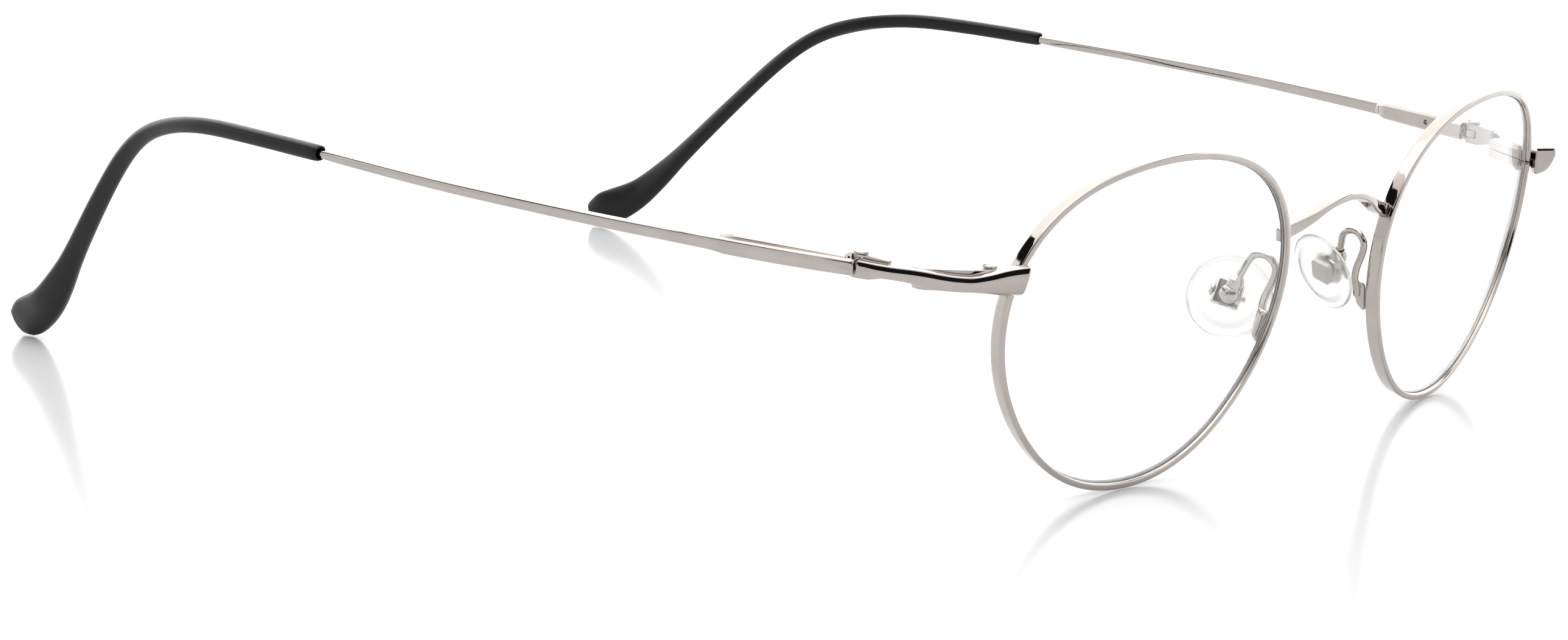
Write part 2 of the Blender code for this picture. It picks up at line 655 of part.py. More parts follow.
def make_slider(name, side, parent):
    """The middle knuckle, with the rod that the temple's spring pulls on."""
    knuckle = arc(0.9, 40, 320, 15) + [(0.95, -0.42), (1.75, -0.42), (1.75, 0.42), (0.95, 0.42)]
    slider = prism(f"slider_{name}", HINGE, knuckle, -KNUCKLE_HALF, KNUCKLE_HALF, side,
                   "screw_steel", parent)
    hinge_drill(slider, f"cut_slider_hole_{name}", side, parent)
    rod = turned(f"add_slider_rod_{name}", ROD,
                 ((0, ROD_END), (ROD_RADIUS, ROD_END), (ROD_RADIUS, 5.2), (GUIDE_RADIUS, 5.2),
                  (GUIDE_RADIUS, 1.55), (0, 1.55)), side, None, parent)
    boolean(slider, rod, "UNION")
    inner, outer = ROD_RADIUS + 0.04, BORE_RADIUS - 0.08
    turned(f"rod_nut_{name}", ROD, ((outer, ROD_END), (outer, ROD_END - NUT_LENGTH),
                                    (inner, ROD_END - NUT_LENGTH), (inner, ROD_END)),
           side, "screw_steel", parent)


def make_spring(name, side, parent):
    start, end = BUSHING[1] + SPRING_WIRE + 0.04, ROD_END - NUT_LENGTH - SPRING_WIRE - 0.04
    middle = (ROD_RADIUS + BORE_RADIUS) / 2 + 0.01
    per_turn = 9
    coil = []
    for k in range(SPRING_TURNS * per_turn + 1):
        angle = 2 * math.pi * k / per_turn
        coil.append(ROD.at(middle * math.cos(angle), middle * math.sin(angle),
                           start + (end - start) * k / (SPRING_TURNS * per_turn)))
    wire(f"spring_{name}", coil, SPRING_WIRE, side, "spring_steel", parent, 0)
    inner, outer = ROD_RADIUS + 0.06, BORE_RADIUS - 0.05
    turned(f"bushing_{name}", ROD, ((outer, BUSHING[1]), (outer, BUSHING[0]),
                                    (inner, BUSHING[0]), (inner, BUSHING[1])),
           side, "bushing_plastic", parent)


# ---- temples, spring housings and tips ---------------------------------------
TEMPLE_CURVE = smooth_curve(END_PLAN[-2:-1] + TEMPLE_PLAN, 16)[16:]


def temple_plan(y):
    """Outer face of the temple and its inward normal, in plan, at a distance back."""
    x = np.interp(y, TEMPLE_CURVE[:, 1], TEMPLE_CURVE[:, 0])
    slope = np.interp(y, TEMPLE_CURVE[:, 1], np.gradient(TEMPLE_CURVE[:, 0], TEMPLE_CURVE[:, 1]))
    return np.array([x, y]), np.array([-1.0, slope]) / math.hypot(1.0, slope)


def outer_gap(point):
    """Distance from a point of the rod's axis outward to the temple's inner face."""
    rows = np.array(TEMPLE_SECTIONS)
    face, normal = temple_plan(point[1] - 0.4)
    inner = face + normal * np.interp(point[1], rows[:, 0], rows[:, 3])
    return float(np.dot(inner - point[:2], -normal))


def make_housing(name, side, parent):
    """Spring housing on the inner face of the temple, bored for the slider."""
    rings = []
    for distance, half, inner in HOUSING_SECTIONS:
        outer = outer_gap(ROD.at(0, 0, distance)) - 0.06
        middle, half_width = (inner - outer) / 2, (inner + outer) / 2
        rings.append([ROD.at(middle + a, b, distance) for a, b in chamfered(half_width, half, 0.3)])
    housing = loft(f"spring_housing_{name}", HINGE.origin, rings, side, "polished_metal", parent)
    bore = turned(f"cut_bore_{name}", ROD, ((0, BORE_END + 0.3), (BORE_RADIUS, BORE_END),
                                            (BORE_RADIUS, 0), (0, 0)), side, None, parent)
    boolean(housing, bore, "DIFFERENCE")
    sight = Frame(HINGE.at(LOCK_HOLE, 0, 0), HINGE.first, HINGE.second)
    lock = turned(f"cut_lock_{name}", sight, ((0, 2), (0.34, 2), (0.34, 0), (0, 0)), side, None,
                  parent, 12)
    boolean(housing, lock, "DIFFERENCE")


def bar_section(thickness, height):
    """Outer face first, slightly crowned; t inward from the outer face, z from the middle."""
    t, h = thickness, height / 2
    return [(0.16, h), (0.0, h - 0.22), (-0.04, 0.0), (0.06, -h + 0.30), (0.24, -h),
            (t - 0.14, -h), (t, -h + 0.14), (t, h - 0.14), (t - 0.14, h)]


def tip_rings(line, sizes, section):
    """Rings along the centre line of the tip, turned by each row's twist."""
    rings = []
    tangents = np.gradient(line[:, :3], axis=0)
    for row, tangent, size in zip(line, tangents, sizes):
        tangent = unit(tangent)
        sideways = unit(np.cross(tangent, (0, 0, 1)))
        rise = np.cross(sideways, tangent)
        twist = math.radians(row[5])
        wide = math.cos(twist) * rise + math.sin(twist) * sideways
        thin = -math.sin(twist) * rise + math.cos(twist) * sideways
        rings.append([row[:3] + a * size[0] / 2 * wide + b * size[1] / 2 * thin for a, b in section])
    return rings


def make_temple_and_tip(name, side, parent):
    section = oval(10, 0.72)
    line = smooth_curve(TIP_SECTIONS, 3)
    outer = tip_rings(line, line[:, 3:5], section)
    lift = -min(p[2] for ring in outer for p in ring)

    def settle(p):
        """Moves the end of the tip up or down by a hair so that it stands on z = 0."""
        share = min(1.0, max(0.0, (p[1] - 120.0) / 18.0))
        return p + np.array([0, 0, lift * share])

    outer = [[settle(p) for p in ring] for ring in outer]
    core_line = line[line[:, 1] <= CORE_END]
    core_size = np.array([[CORE_SIZE, CORE_SIZE]] * len(core_line))
    hole = tip_rings(core_line, core_size + 2 * CORE_CLEARANCE, section)

    # the sleeve is open at its front end, round the temple's core wire
    points = [p for ring in outer for p in ring] + [p for ring in hole for p in ring]
    count = len(section)
    faces = skin(outer)
    base = len(outer) * count
    faces += [tuple(base + i for i in face) for face in skin(hole)]
    faces += [(k, (k + 1) % count, base + (k + 1) % count, base + k) for k in range(count)]
    faces.append(tuple(range((len(outer) - 1) * count, len(outer) * count)))
    last = base + (len(hole) - 1) * count
    faces.append(tuple(range(last, last + count)))
    solid(f"temple_tip_{name}", line[0, :3], points, faces, side, "black_acetate", parent)

    rings = []
    rows = np.array(TEMPLE_SECTIONS)
    stations = sorted({TEMPLE_SECTIONS[0][0], 17.5, 19.6, 22.0, 25.0, 27.5, 29.3, 30.6, 31.4, 32.2,
                       35.0, 38.0, 42.0, 46.0, 50.0, 54.0, 58.0, 62.0, 66.0, 70.0, 74.0, 78.0,
                       TEMPLE_SECTIONS[-1][0]})
    for y in stations:
        low, high, thick = (np.interp(y, rows[:, 0], rows[:, k]) for k in (1, 2, 3))
        face, normal = temple_plan(y)
        rings.append([np.append(face + normal * t, (low + high) / 2 + z)
                      for t, z in bar_section(thick, high - low)])
    # the core wire inside the tip has the same number of points as the bar
    core_section = [(0.78, 0.62), (0.32, 0.95), (0.0, 1.0), (-0.35, 0.95), (-0.8, 0.6), (-0.8, -0.6),
                    (-0.3, -0.95), (0.3, -0.95), (0.8, -0.6)]
    rings += tip_rings(core_line[:-1], core_size[:-1], core_section)
    loft(f"temple_{name}", HINGE.origin, rings, side, "polished_metal", parent)


# ---- bridge ------------------------------------------------------------------
def make_bridge(parent):
    half = smooth_curve(BRIDGE_SECTIONS, 3)
    line = np.array([row * np.array([-1, 1, 1, 1, 1]) for row in half[:0:-1]] + list(half))
    tangents = np.gradient(line[:, :3], axis=0)
    rings = []
    for row, tangent in zip(line, tangents):
        tangent = unit(tangent)
        rise = unit(np.array([0, 0, 1.0]) - tangent * tangent[2])
        depth = np.cross(tangent, rise)
        rings.append([row[:3] + a * rise + b * depth for a, b in chamfered(row[3], row[4], BRIDGE_CHAMFER)])
    bridge = loft("bridge", half[0, :3], rings, 1.0, "polished_metal", parent)
    angle = math.radians(BRIDGE_FOOT_ANGLE)
    foot_outline = [(-0.34, -FOOT_HALF + 0.2), (-0.14, -FOOT_HALF), (1.30, -FOOT_HALF),
                    (1.30, FOOT_HALF), (-0.14, FOOT_HALF), (-0.34, FOOT_HALF - 0.2)]
    rear = -RIM_DEPTH / 2
    for name, side in SIDES:
        frame = Frame(rim_point(angle, 0, 0), rim_point(angle, 1, 0) - rim_point(angle, 0, 0),
                      rim_point(angle, 0, 1) - rim_point(angle, 0, 0))
        foot = prism(f"add_foot_{name}", frame, foot_outline, rear - 0.60, rear - 0.06, side, None, parent)
        neck = box(f"add_neck_{name}", frame, (RIM_WIDTH / 2 + 0.10, 1.30), (-0.76, 0.76),
                   (rear - 0.40, 0.30), side, None, parent)
        boolean(bridge, foot, "UNION")
        boolean(bridge, neck, "UNION")


# ---- nose pads ---------------------------------------------------------------
def pad_frame():
    """First roughly backward along the pad screw, third from the skin side to the back of the pad."""
    splay, droop, roll = math.radians(PAD_SPLAY), math.radians(PAD_DROOP), math.radians(PAD_ROLL)
    off_skin = np.array([math.cos(droop) * math.cos(splay), -math.cos(droop) * math.sin(splay),
                         math.sin(droop)])
    level = np.array([math.sin(splay), math.cos(splay), 0.0])
    rise = np.cross(off_skin, level)
    return Frame(PAD_CENTRE, math.cos(roll) * level + math.sin(roll) * rise, off_skin)


PAD = pad_frame()
PAD_AXIS = Frame(PAD.at(0, 0, PAD_AXIS_HEIGHT), PAD.second, PAD.first)
BOX_SIDE = Frame(PAD.origin, PAD.first, -PAD.second)         # (a, b) are backward and off the pad
TAB_SIDE = Frame(PAD.origin, PAD.second, PAD.first)          # (a, b) are across and off the pad
ARM_END = Frame(ARM_PATH[-1], PAD.first, unit(np.subtract(ARM_PATH[-1], ARM_PATH[-2])))


def pad_drill(obj, name, radius, side, parent):
    drill = turned(name, PAD_AXIS, ((0, 3), (radius, 3), (radius, -3), (0, -3)), side, None, parent, 14)
    boolean(obj, drill, "DIFFERENCE")


def make_pad(name, side, parent):
    """The pad, and the insert in its back that the pad screw passes through."""
    turned(f"pad_{name}", PAD,
           ((0, 0.30), (3.3, 0.30), (3.75, 0.62), (4.1, 0.85), (4.55, 0.75), (PAD_RADIUS, 0.35),
            (4.4, -0.10), (3.6, -0.50), (2.2, -0.72), (0, -0.75)),
           side, "clear_silicone", parent, 28)
    insert = prism(f"pad_insert_{name}", PAD, chamfered(1.35, 1.2, 0.30), 0.36, 0.76, side,
                   "polished_metal", parent)
    eye = [(a, b + PAD_AXIS_HEIGHT) for a, b in arc(0.62, 0, 180, 9)]
    tab = prism(f"add_tab_{name}", TAB_SIDE, eye + [(-0.62, 0.60), (0.62, 0.60)], -TAB_HALF, TAB_HALF,
                side, None, parent)
    boolean(insert, tab, "UNION")
    pad_drill(insert, f"cut_tab_{name}", 0.38, side, parent)


def make_pad_box(name, side, parent):
    """The box round the pad's tab, domed outside, with a collar of solder for the arm's end."""
    length, low, high = BOX_HALF_LENGTH, BOX_BOTTOM, BOX_TOP
    outline = [(-length + 0.2, low), (length - 0.2, low), (length, low + 0.2), (length, high - 0.35),
               (length - 0.3, high), (-length + 0.3, high), (-length, high - 0.35), (-length, low + 0.2)]
    pad_box = prism(f"pad_box_{name}", BOX_SIDE, outline, -BOX_HALF_WIDTH, BOX_HALF_WIDTH, side,
                    "polished_metal", parent)
    rounding = pad_box.modifiers.new("rounding", "BEVEL")
    rounding.width = BOX_ROUNDING * MM
    rounding.segments = 2
    rounding.limit_method = "ANGLE"
    rounding.angle_limit = math.radians(50)
    dome = turned(f"add_dome_{name}", Frame(PAD.at(DOME_OFFSET, 0, 0), PAD.first, PAD.third),
                  ((0, 3.12), (0.55, 3.07), (0.95, 2.88), (1.15, 2.60), (1.15, 2.42), (0, 2.42)),
                  side, None, parent)
    collar = turned(f"add_collar_{name}", ARM_END,
                    ((0, 1.0), (COLLAR_RADIUS, 1.0), (COLLAR_RADIUS, 0.15), (0.62, -0.5), (0, -0.5)),
                    side, None, parent)
    slot = box(f"cut_box_slot_{name}", PAD, (-SLOT_HALF, SLOT_HALF), (-2, BOX_HALF_WIDTH + 0.01),
               (0.0, 2.38), side, None, parent)
    bore = ARM_RADIUS + 0.06
    arm_hole = turned(f"cut_arm_hole_{name}", ARM_END, ((0, 0.06), (bore, 0.06), (bore, -1.5), (0, -1.5)),
                      side, None, parent)
    boolean(pad_box, dome, "UNION")
    boolean(pad_box, collar, "UNION")
    boolean(pad_box, slot, "DIFFERENCE")
    boolean(pad_box, arm_hole, "DIFFERENCE")
    pad_drill(pad_box, f"cut_box_hole_{name}", 0.38, side, parent)
    seat = BOX_HALF_LENGTH + 0.06
    body = turned(f"pad_screw_{name}", PAD_AXIS,
                  ((0, seat + 0.44), (0.45, seat + 0.44), (0.66, seat + 0.27), (0.66, seat), (0.32, seat),
                   (0.32, -1.90), (0.22, -2.0), (0, -2.0)), side, "screw_steel", parent, 14)
    nick = box(f"cut_pad_screw_{name}", PAD_AXIS, (-1, 1), (-0.1, 0.1), (seat + 0.25, 3), side, None,
               parent)
    boolean(body, nick, "DIFFERENCE")


def make_pad_arm(name, side, parent):
    """The bent wire, with a thin plate at its foot that is soldered behind the rim."""
    arm = wire(f"pad_arm_{name}", smooth_curve(ARM_PATH, 3), ARM_RADIUS, side, "polished_metal", parent, 2)
    low, high = ARM_PLATE_OUT
    rings = []
    for at_rim, at_rear, rear in ARM_PLATE:
        corners = ((at_rim, low, ARM_PLATE_FRONT), (at_rim, high, ARM_PLATE_FRONT),
                   (at_rear, high, rear), (at_rear, low, rear))
        rings.append([rim_point(math.radians(a), out, front) for a, out, front in corners])
    plate = loft(f"add_plate_{name}", rings[1][0], rings, side, None, parent)
    boolean(arm, plate, "UNION")


# ---- build -------------------------------------------------------------------
def main():
    clear_scene()
    bpy.context.scene.unit_settings.system = "METRIC"
    glasses = pivot("glasses", (0, 0, 0))
    make_bridge(glasses)
    for name, side in SIDES:
        flip = np.array([side, 1.0, 1.0])
        fold = pivot(f"temple_fold_{name}", HINGE.origin * flip, glasses)
        flex = pivot(f"temple_spring_{name}", HINGE.origin * flip, fold)
        rock = pivot(f"pad_rock_{name}", PAD_AXIS.origin * flip, glasses)
        make_rim(name, side, glasses)
        make_lens(name, side, glasses)
        make_end_piece(name, side, glasses)
        make_closing_blocks(name, side, glasses)
        make_hinge_front(name, side, glasses)
        make_slider(name, side, fold)
        make_spring(name, side, flex)
        make_housing(name, side, flex)
        make_temple_and_tip(name, side, flex)
        make_pad_box(name, side, glasses)
        make_pad_arm(name, side, glasses)
        make_pad(name, side, rock)
    # the world origin is on the floor under the middle of the whole object
    glasses.location.y = -MIDDLE_Y * MM


main()
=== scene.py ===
"""Looks for the round wire eyeglasses: fine surfaces, materials, a white studio and the camera.

Each visible piece but the coil springs is a finer surface made from its own CAD node, in the same place.
The springs are the CAD nodes themselves.
"""

import json
import math

import bmesh
import bpy
import numpy as np
from mathutils import Matrix, Vector


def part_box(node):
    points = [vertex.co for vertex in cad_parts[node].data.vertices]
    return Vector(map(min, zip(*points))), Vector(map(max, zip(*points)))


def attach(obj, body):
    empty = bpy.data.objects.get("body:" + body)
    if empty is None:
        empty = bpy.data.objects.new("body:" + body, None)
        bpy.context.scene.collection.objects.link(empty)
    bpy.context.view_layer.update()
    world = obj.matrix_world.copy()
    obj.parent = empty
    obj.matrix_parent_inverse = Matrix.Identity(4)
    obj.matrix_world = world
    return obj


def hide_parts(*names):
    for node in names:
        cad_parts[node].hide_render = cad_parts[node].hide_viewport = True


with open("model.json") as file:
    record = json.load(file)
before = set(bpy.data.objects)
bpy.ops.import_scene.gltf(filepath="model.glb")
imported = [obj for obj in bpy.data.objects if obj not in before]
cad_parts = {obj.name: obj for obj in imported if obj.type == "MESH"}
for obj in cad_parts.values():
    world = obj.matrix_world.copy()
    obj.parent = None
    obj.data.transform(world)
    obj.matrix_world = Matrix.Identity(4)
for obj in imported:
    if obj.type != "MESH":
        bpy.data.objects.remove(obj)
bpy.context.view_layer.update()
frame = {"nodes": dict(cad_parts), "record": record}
SIDES = ("right", "left")
MM = 0.001
BODY_OF = {node: body for body, nodes in frame["record"]["behaviour"]["bodies"].items() for node in nodes}
SLOT_OF = {part["node"]: part["material_slot"] for part in frame["record"]["subparts"]}


# ---- materials ---------------------------------------------------------------
NOISE_LOW = 0.3                  # nearly all of a noise lies between these two
NOISE_HIGH = 0.7
FINE_RELIEF = 0.01 * MM


def new_material(name):
    made = bpy.data.materials.new(name)
    made.use_nodes = True
    return made, made.node_tree, made.node_tree.nodes["Principled BSDF"]


def noise(tree, scale, detail=3.0):
    """Noise over the object's own coordinates, which stay fixed to the piece. The scale is in 1 / metres."""
    place = tree.nodes.new("ShaderNodeTexCoord")
    found = tree.nodes.new("ShaderNodeTexNoise")
    found.inputs["Scale"].default_value = scale
    found.inputs["Detail"].default_value = detail
    tree.links.new(place.outputs["Object"], found.inputs["Vector"])
    return found.outputs["Fac"]


def spread(tree, source, low, high):
    """Maps a noise onto low to high."""
    node = tree.nodes.new("ShaderNodeMapRange")
    node.inputs["From Min"].default_value = NOISE_LOW
    node.inputs["From Max"].default_value = NOISE_HIGH
    node.inputs["To Min"].default_value = low
    node.inputs["To Max"].default_value = high
    tree.links.new(source, node.inputs["Value"])
    return node.outputs["Result"]


def tint(tree, source, dark, light):
    """Maps a noise onto a colour from dark to light."""
    ramp = tree.nodes.new("ShaderNodeValToRGB")
    ramp.color_ramp.elements[0].position = NOISE_LOW
    ramp.color_ramp.elements[1].position = NOISE_HIGH
    ramp.color_ramp.elements[0].color = (*dark, 1)
    ramp.color_ramp.elements[1].color = (*light, 1)
    tree.links.new(source, ramp.inputs["Fac"])
    return ramp.outputs["Color"]


def bump(tree, shader, source, distance, strength):
    node = tree.nodes.new("ShaderNodeBump")
    node.inputs["Distance"].default_value = distance
    node.inputs["Strength"].default_value = strength
    tree.links.new(source, node.inputs["Height"])
    tree.links.new(node.outputs["Normal"], shader.inputs["Normal"])


def metal(name, dark, light, roughness):
    """Plated metal: a slight change of tone, fine polishing haze and a soft waviness."""
    made, tree, shader = new_material(name)
    shader.inputs["Metallic"].default_value = 1.0
    tree.links.new(tint(tree, noise(tree, 260), dark, light), shader.inputs["Base Color"])
    tree.links.new(spread(tree, noise(tree, 1500, 5), *roughness), shader.inputs["Roughness"])
    bump(tree, shader, noise(tree, 700, 2), FINE_RELIEF, 0.25)
    return made


def clear_lens():
    """Clear plastic with an almost even polish."""
    made, tree, shader = new_material("clear_lens_look")
    shader.inputs["Base Color"].default_value = (0.985, 0.993, 0.99, 1)
    shader.inputs["Transmission Weight"].default_value = 1.0
    shader.inputs["IOR"].default_value = 1.49
    tree.links.new(spread(tree, noise(tree, 40), 0.0, 0.012), shader.inputs["Roughness"])
    return made


def ground_edge():
    """The frosted edge of a lens, where the grinding wheel left it white."""
    made, tree, shader = new_material("ground_edge_look")
    tree.links.new(tint(tree, noise(tree, 900), (0.80, 0.82, 0.83), (0.90, 0.91, 0.92)),
                   shader.inputs["Base Color"])
    tree.links.new(spread(tree, noise(tree, 3000), 0.55, 0.75), shader.inputs["Roughness"])
    shader.inputs["Transmission Weight"].default_value = 0.35
    bump(tree, shader, noise(tree, 4000), FINE_RELIEF, 0.4)
    return made


def clear_silicone():
    """Slightly milky soft plastic."""
    made, tree, shader = new_material("clear_silicone_look")
    shader.inputs["Transmission Weight"].default_value = 0.88
    shader.inputs["IOR"].default_value = 1.41
    tree.links.new(tint(tree, noise(tree, 300), (0.89, 0.89, 0.865), (0.94, 0.94, 0.92)),
                   shader.inputs["Base Color"])
    tree.links.new(spread(tree, noise(tree, 900), 0.14, 0.24), shader.inputs["Roughness"])
    bump(tree, shader, noise(tree, 1200), 2 * FINE_RELIEF, 0.3)
    return made


def black_acetate():
    """Satin black plastic with a fine moulded grain."""
    made, tree, shader = new_material("black_acetate_look")
    tree.links.new(tint(tree, noise(tree, 220), (0.0025, 0.0024, 0.0023), (0.005, 0.0046, 0.0042)),
                   shader.inputs["Base Color"])
    tree.links.new(spread(tree, noise(tree, 2600, 6), 0.30, 0.40), shader.inputs["Roughness"])
    bump(tree, shader, noise(tree, 5200, 4), FINE_RELIEF, 0.35)
    shader.inputs["Specular IOR Level"].default_value = 0.30
    return made


def plain_plastic():
    """Off-white moulded plastic, for the bush inside the hinge."""
    made, tree, shader = new_material("bushing_plastic_look")
    tree.links.new(tint(tree, noise(tree, 400), (0.70, 0.70, 0.67), (0.80, 0.80, 0.77)),
                   shader.inputs["Base Color"])
    tree.links.new(spread(tree, noise(tree, 1800), 0.35, 0.5), shader.inputs["Roughness"])
    return made


LOOKS = {
    "polished_metal": metal("polished_metal_look", (0.455, 0.420, 0.390), (0.505, 0.468, 0.436),
                            (0.03, 0.08)),
    "screw_steel": metal("screw_steel_look", (0.46, 0.44, 0.42), (0.56, 0.54, 0.52), (0.12, 0.24)),
    "spring_steel": metal("spring_steel_look", (0.42, 0.42, 0.43), (0.52, 0.52, 0.53), (0.22, 0.34)),
    "bushing_plastic": plain_plastic(),
    "clear_lens": clear_lens(),
    "clear_silicone": clear_silicone(),
    "black_acetate": black_acetate(),
}
GROUND_EDGE = ground_edge()


# ---- fine surfaces from the CAD nodes ----------------------------------------
WELD = 0.002 * MM                # points closer than this are one point
PAIR_FLATNESS = 25               # degrees between two triangles that pair into a quad
PAIR_SHAPE = 60
SUBDIVISIONS = 2
SMALLEST_EDGE = 1.0              # degrees: a flatter edge isn't an edge
MACHINED_EDGE = 30               # degrees: a sharper edge of a machined piece is rounded
BLOCK_ROUNDING = 0.12 * MM
SCREW_ROUNDING = 0.05 * MM


def quads_of(node):
    """A copy of a node's mesh with its points joined and its triangles paired into quads."""
    work = bmesh.new()
    work.from_mesh(frame["nodes"][node].data)
    bmesh.ops.remove_doubles(work, verts=work.verts, dist=WELD)
    bmesh.ops.join_triangles(work, faces=work.faces, angle_face_threshold=math.radians(PAIR_FLATNESS),
                             angle_shape_threshold=math.radians(PAIR_SHAPE))
    return work


def add_piece(node, work):
    """Makes the finished piece that stands for a node."""
    mesh = bpy.data.meshes.new(node + "_fine")
    work.to_mesh(mesh)
    work.free()
    piece = bpy.data.objects.new(node + "_fine", mesh)
    bpy.context.scene.collection.objects.link(piece)
    mesh.materials.append(LOOKS[SLOT_OF[node]])
    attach(piece, BODY_OF[node])
    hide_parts(node)
    return piece


def subdivide(piece, levels):
    smooth = piece.modifiers.new("smooth", "SUBSURF")
    smooth.levels = levels
    smooth.render_levels = levels


def subdivided(node, crease_angle, crease):
    """A smooth surface through a lofted node, whose sharper edges stay crisp."""
    work = quads_of(node)
    marks = work.edges.layers.float.new("crease_edge")
    for edge in work.edges:
        if len(edge.link_faces) == 2 and edge.calc_face_angle() > math.radians(crease_angle):
            edge[marks] = crease
    piece = add_piece(node, work)
    piece.data.shade_smooth()
    subdivide(piece, SUBDIVISIONS)


def bevelled(node, width, segments):
    """A machined node with its edges rounded by a small radius."""
    work = bmesh.new()
    work.from_mesh(frame["nodes"][node].data)
    bmesh.ops.remove_doubles(work, verts=work.verts, dist=WELD)
    bmesh.ops.dissolve_limit(work, angle_limit=math.radians(SMALLEST_EDGE), verts=work.verts,
                             edges=work.edges)
    piece = add_piece(node, work)
    piece.data.shade_smooth()
    piece.data.set_sharp_from_angle(angle=math.radians(MACHINED_EDGE))
    edges = piece.modifiers.new("edges", "BEVEL")
    edges.width = width
    edges.segments = segments
    edges.limit_method = "ANGLE"
    edges.angle_limit = math.radians(MACHINED_EDGE)
    edges.harden_normals = True


def node_points(node):
    """The node's separate points."""
    work = quads_of(node)
    points = np.array([v.co for v in work.verts])
    work.free()
    return points


def mesh_of_rings(rings):
    """Quads between rings of equal length, and the first and last ring filled."""
    work = bmesh.new()
    rows = [[work.verts.new(p) for p in ring] for ring in rings]
    count = len(rows[0])
    for low, high in zip(rows, rows[1:]):
        for k in range(count):
            work.faces.new((low[k], low[(k + 1) % count], high[(k + 1) % count], high[k]))
    work.faces.new(rows[0][::-1])
    work.faces.new(rows[-1])
    bmesh.ops.recalc_face_normals(work, faces=work.faces)
    return work


def waves(angles, values):
    """A smooth closed track through values at angles, as a function of the angle."""
    def terms(a):
        waves_of_a = [f(n * a) for n in range(1, OUTLINE_WAVES + 1) for f in (np.cos, np.sin)]
        return np.column_stack([np.ones_like(a)] + waves_of_a)

    weights = np.linalg.lstsq(terms(angles), values, rcond=None)[0]
    return lambda a: terms(a) @ weights


OUTLINE_WAVES = 6
LENS_STEPS = 192
LENS_SHARES = (0.06, 0.16, 0.28, 0.40, 0.52, 0.64, 0.76, 0.88, 0.96)   # of the way to the edge
LENS_RINGS = 6                   # in the CAD lens: one on each face, then four over its edge
POLE_RADIUS = 5 * MM             # the middles of the two faces are the only points inside this
LENS_SHARP_EDGE = 25             # degrees


def make_lens(side):
    """The two polished faces of the lens with its ground, V-shaped edge between them."""
    node = f"lens_{side}"
    points = node_points(node)
    flat = np.linalg.svd(points - points.mean(0))[2]
    away = (points - points.mean(0)) @ flat.T
    poles = points[np.hypot(away[:, 0], away[:, 1]) < POLE_RADIUS]
    front_pole, back_pole = poles[np.argsort(poles[:, 1])]
    axis = (front_pole - back_pole) / np.linalg.norm(front_pole - back_pole)
    across = np.cross(axis, (0, 0, 1))
    across /= np.linalg.norm(across)
    rise = np.cross(across, axis)
    local = (points - front_pole) @ np.array([across, rise, axis]).T
    radius = np.hypot(local[:, 0], local[:, 1])
    local, radius = local[radius > MM], radius[radius > MM]
    order = np.argsort(np.arctan2(local[:, 1], local[:, 0]))
    stations = np.column_stack([radius, local[:, 2], np.arctan2(local[:, 1], local[:, 0])])[order]
    stations = stations.reshape(-1, LENS_RINGS, 3)
    stations = np.array([s[np.argsort(s[:, 0])] for s in stations])
    # the four rings of the edge, from the front face to the back face
    edges = np.array([s[2:][np.argsort(-s[2:, 1])] for s in stations])
    angles = np.linspace(0, 2 * math.pi, LENS_STEPS, endpoint=False)
    tracks = [[waves(edges[:, k, 2], edges[:, k, column])(angles) for column in (0, 1)]
              for k in range(edges.shape[1])]

    def ring(radii, heights):
        return (front_pole + np.outer(radii * np.cos(angles), across)
                + np.outer(radii * np.sin(angles), rise) + np.outer(heights, axis))

    def face(track, pole_height):
        bend = (tracks[track][1] - pole_height) / tracks[track][0] ** 2
        return [ring(tracks[track][0] * share, pole_height + bend * (tracks[track][0] * share) ** 2)
                for share in LENS_SHARES]

    thickness = np.linalg.norm(front_pole - back_pole)
    rings = (face(0, 0.0) + [ring(*track) for track in tracks] + face(3, -thickness)[::-1])
    work = mesh_of_rings(rings)
    work.faces.ensure_lookup_table()
    edge_start = len(LENS_SHARES)
    edge_end = edge_start + len(tracks) - 1
    for k in range(edge_start * LENS_STEPS, edge_end * LENS_STEPS):
        work.faces[k].material_index = 1
    piece = add_piece(node, work)
    piece.data.materials.append(GROUND_EDGE)
    piece.data.shade_smooth()
    piece.data.set_sharp_from_angle(angle=math.radians(LENS_SHARP_EDGE))


# radius and height in mm, from the middle of the back to the middle of the side on the skin
PAD_PROFILE = ((0.4, 0.30), (2.6, 0.30), (3.05, 0.36), (3.35, 0.56), (3.62, 0.72), (3.95, 0.84),
               (4.25, 0.82), (4.38, 0.70), (4.42, 0.60), (4.55, 0.56), (4.66, 0.44), (4.70, 0.28),
               (4.66, 0.10), (4.50, -0.06), (4.1, -0.26), (3.5, -0.48), (2.6, -0.64), (1.5, -0.73),
               (0.4, -0.75))
PAD_STEPS = 96
PAD_SKIN_DEPTH = 0.75 * MM       # from the height 0 of the profile to the skin


def make_pad(side):
    """The silicone pad: a soft disc with a stepped rim round a shallow dish."""
    node = f"pad_{side}"
    points = node_points(node)
    low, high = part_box(f"pad_box_{side}")
    axis = np.linalg.svd(points - points.mean(0))[2][2]
    if np.dot(np.array((low + high) / 2) - points.mean(0), axis) < 0:
        axis = -axis
    across = np.cross(axis, (0, 0, 1))
    across /= np.linalg.norm(across)
    rise = np.cross(axis, across)
    along = (points - points.mean(0)) @ axis
    middle = points.mean(0) + axis * (along.min() + PAD_SKIN_DEPTH)
    angles = np.linspace(0, 2 * math.pi, PAD_STEPS, endpoint=False)
    rings = [[middle + MM * (r * (math.cos(a) * across + math.sin(a) * rise) + h * axis) for a in angles]
             for r, h in PAD_PROFILE]
    piece = add_piece(node, mesh_of_rings(rings))
    piece.data.shade_smooth()
    subdivide(piece, 1)


